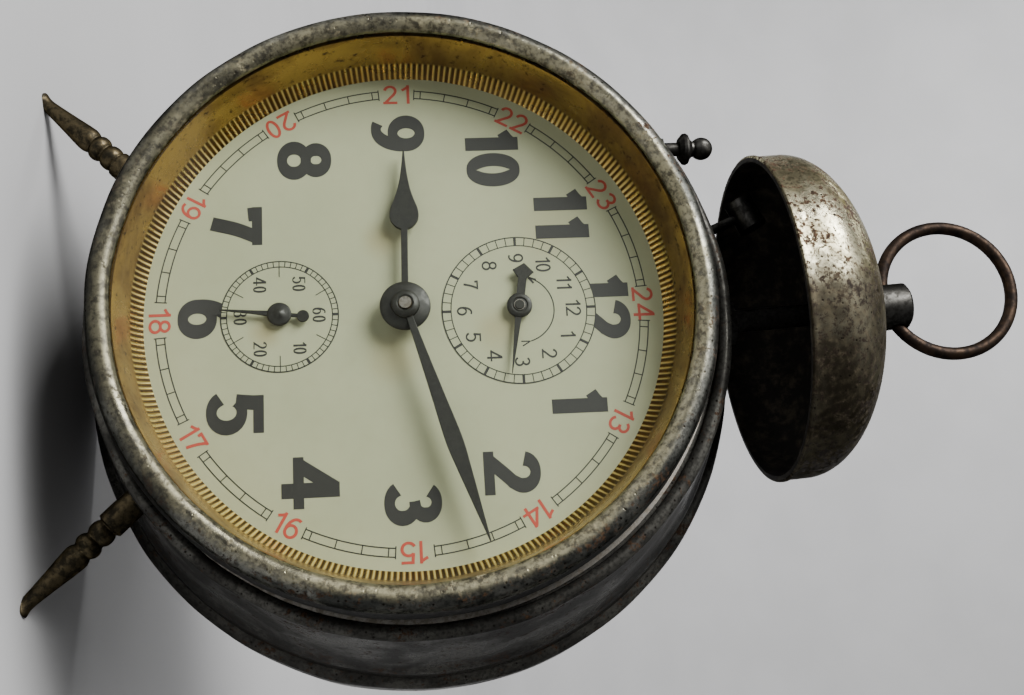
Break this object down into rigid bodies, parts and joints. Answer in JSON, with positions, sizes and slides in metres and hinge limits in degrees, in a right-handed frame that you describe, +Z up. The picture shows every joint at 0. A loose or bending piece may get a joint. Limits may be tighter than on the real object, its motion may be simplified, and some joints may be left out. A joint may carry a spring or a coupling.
{
  "type": "alarm clock",
  "caption": "Wind-up alarm clock with a drum case, a bell on a post above it, a carrying ring, turned feet, seconds and alarm subdials and a full movement inside.",
  "frame": {"origin": "on the surface that the clock stands on, below the middle of its overall box", "axes": "+Z up, -Y towards the viewer of the dial, +X towards three o'clock"},
  "size_m": [0.1164, 0.075, 0.1691],
  "materials": {
    "worn_nickel": "aged nickel plate, speckled with rust",
    "bezel_nickel": "worn nickel plate with dark pits",
    "clear_glass": "clear flat glass",
    "gilt": "tarnished gilt brass, reeded at the dial",
    "dial_print": "cream printed paper with brown stains",
    "tin_plate": "plain tin plate",
    "dark_brass": "dark olive-brown brass",
    "collar_steel": "dark steel",
    "ring_patina": "dark brown wire",
    "black_hands": "black lacquered steel",
    "movement_brass": "plain brass",
    "arbor_steel": "turned steel",
    "spring_steel": "blued spring steel",
    "key_brass": "aged cast brass"
  },
  "bodies": {
    "case": {"case_drum": "worn_nickel", "front_bezel": "bezel_nickel", "dial_glass": "clear_glass", "gilt_ring": "gilt", "dial_plate": "tin_plate", "dial_paper": "dial_print", "dial_pins": "arbor_steel", "back_cover": "worn_nickel", "back_cover_screws": "collar_steel", "foot_left": "dark_brass", "foot_right": "dark_brass", "foot_nuts": "collar_steel", "bell_post": "collar_steel", "bell_post_nut": "collar_steel", "bell": "worn_nickel", "bell_collar": "collar_steel", "stop_button_bush": "collar_steel", "hairspring": "spring_steel", "time_mainspring": "spring_steel", "alarm_mainspring": "spring_steel", "alarm_release_spring": "spring_steel", "front_plate": "movement_brass", "back_plate": "movement_brass", "plate_pillars": "movement_brass", "pillar_nuts": "collar_steel"},
    "hand_setting": {"centre_arbor": "arbor_steel", "cannon_pinion": "movement_brass", "minute_hand": "black_hands", "hand_washer": "collar_steel", "hand_set_knob": "key_brass"},
    "hour": {"hour_wheel": "movement_brass", "hour_hand": "black_hands"},
    "minute_wheel": {"minute_wheel": "movement_brass"},
    "alarm_release": {"alarm_release_wheel": "movement_brass"},
    "fourth": {"fourth_wheel": "movement_brass", "seconds_hand": "black_hands"},
    "third": {"third_wheel": "movement_brass"},
    "centre": {"centre_wheel": "movement_brass"},
    "time_great": {"time_great_wheel": "movement_brass", "time_click": "arbor_steel"},
    "escape": {"escape_wheel": "movement_brass"},
    "pallet": {"pallet_lever": "arbor_steel"},
    "balance": {"balance_wheel": "movement_brass"},
    "regulator": {"regulator_lever": "arbor_steel"},
    "time_winding": {"time_winding_arbor": "arbor_steel", "time_key": "key_brass"},
    "alarm_winding": {"alarm_winding_arbor": "arbor_steel", "alarm_key": "key_brass"},
    "alarm_great": {"alarm_great_wheel": "movement_brass", "alarm_click": "arbor_steel"},
    "alarm_strike": {"alarm_strike_wheel": "movement_brass"},
    "hammer": {"hammer_arm": "collar_steel", "hammer_head": "collar_steel"},
    "alarm_setting": {"alarm_arbor": "arbor_steel", "alarm_hand": "black_hands", "alarm_set_knob": "key_brass"},
    "stop_button": {"stop_button": "collar_steel"},
    "carrying_ring": {"carrying_ring": "ring_patina"}
  },
  "joints": [
    {"name": "hand_setting_turn", "type": "hinge", "parent": "case", "child": "hand_setting", "pos_m": [0, -0.02073, 0.06125], "axis": [0, 0.9936, -0.1132], "continuous": true},
    {"name": "hour_turn", "type": "hinge", "parent": "case", "child": "hour", "pos_m": [0, -0.01775, 0.06091], "axis": [0, 0.9936, -0.1132], "continuous": true},
    {"name": "minute_wheel_turn", "type": "hinge", "parent": "case", "child": "minute_wheel", "pos_m": [0.01162, -0.01576, 0.06068], "axis": [0, 0.9936, -0.1132], "continuous": true},
    {"name": "alarm_release_turn", "type": "hinge", "parent": "case", "child": "alarm_release", "pos_m": [0, -0.01564, 0.07939], "axis": [0, 0.9936, -0.1132], "continuous": true},
    {"name": "fourth_turn", "type": "hinge", "parent": "case", "child": "fourth", "pos_m": [0, -0.00513, 0.03914], "axis": [0, 0.9936, -0.1132], "continuous": true},
    {"name": "third_turn", "type": "hinge", "parent": "case", "child": "third", "pos_m": [-0.01067, -0.00406, 0.04857], "axis": [0, 0.9936, -0.1132], "continuous": true},
    {"name": "centre_turn", "type": "hinge", "parent": "case", "child": "centre", "pos_m": [0, -0.00285, 0.05921], "axis": [0, 0.9936, -0.1132], "continuous": true},
    {"name": "time_great_turn", "type": "hinge", "parent": "case", "child": "time_great", "pos_m": [0.01958, 0.0001, 0.04969], "axis": [0, 0.9936, -0.1132], "continuous": true},
    {"name": "escape_turn", "type": "hinge", "parent": "case", "child": "escape", "pos_m": [-0.00815, -0.00583, 0.03304], "axis": [0, 0.9936, -0.1132], "continuous": true},
    {"name": "pallet_rock", "type": "hinge", "parent": "case", "child": "pallet", "pos_m": [-0.01408, -0.00625, 0.02935], "axis": [0, 0.9936, -0.1132], "range_deg": [-5, 5]},
    {"name": "balance_swing", "type": "hinge", "parent": "case", "child": "balance", "pos_m": [-0.02042, -0.0029, 0.02343], "axis": [0, 0.9936, -0.1132], "range_deg": [-150, 150], "stiffness_Nm_per_rad": 0.000008},
    {"name": "regulator_turn", "type": "hinge", "parent": "case", "child": "regulator", "pos_m": [-0.02042, 0.00605, 0.02241], "axis": [0, 0.9936, -0.1132], "range_deg": [-20, 20]},
    {"name": "time_winding_turn", "type": "hinge", "parent": "case", "child": "time_winding", "pos_m": [0.01958, 0.00804, 0.04878], "axis": [0, 0.9936, -0.1132], "continuous": true},
    {"name": "alarm_winding_turn", "type": "hinge", "parent": "case", "child": "alarm_winding", "pos_m": [-0.022, 0.00976, 0.06381], "axis": [0, 0.9936, -0.1132], "continuous": true},
    {"name": "alarm_great_turn", "type": "hinge", "parent": "case", "child": "alarm_great", "pos_m": [-0.022, 0.00181, 0.06472], "axis": [0, 0.9936, -0.1132], "continuous": true},
    {"name": "alarm_strike_turn", "type": "hinge", "parent": "case", "child": "alarm_strike", "pos_m": [-0.0133, -0.00046, 0.08014], "axis": [0, 0.9936, -0.1132], "continuous": true},
    {"name": "hammer_swing", "type": "hinge", "parent": "case", "child": "hammer", "pos_m": [-0.008, -0.00408, 0.09256], "axis": [0, -0.9936, 0.1132], "range_deg": [0, 8], "stiffness_Nm_per_rad": 0.002, "springref_deg": -17.19},
    {"name": "alarm_setting_turn", "type": "hinge", "parent": "case", "child": "alarm_setting", "pos_m": [0, 0.00125, 0.07746], "axis": [0, 0.9936, -0.1132], "continuous": true},
    {"name": "stop_button_press", "type": "slide", "parent": "case", "child": "stop_button", "axis": [0, -0.1132, -0.9936], "range_m": [0, 0.0025], "stiffness_N_per_m": 100, "springref_m": -0.001},
    {"name": "carrying_ring_swing", "type": "hinge", "parent": "case", "child": "carrying_ring", "pos_m": [-0.00189, 0.00189, 0.14498], "axis": [0.9705, 0.0273, 0.2396], "range_deg": [-90, 90]}
  ],
  "couplings": [
    {"joint": "hour_turn", "follows": "hand_setting_turn", "ratio": 0.083333},
    {"joint": "minute_wheel_turn", "follows": "hand_setting_turn", "ratio": -0.33333},
    {"joint": "alarm_release_turn", "follows": "hand_setting_turn", "ratio": -0.083333},
    {"joint": "third_turn", "follows": "fourth_turn", "ratio": -0.13333},
    {"joint": "centre_turn", "follows": "fourth_turn", "ratio": 0.016667},
    {"joint": "time_great_turn", "follows": "fourth_turn", "ratio": -0.0033333},
    {"joint": "escape_turn", "follows": "fourth_turn", "ratio": -7.5},
    {"joint": "alarm_strike_turn", "follows": "alarm_great_turn", "ratio": -6.25}
  ]
}
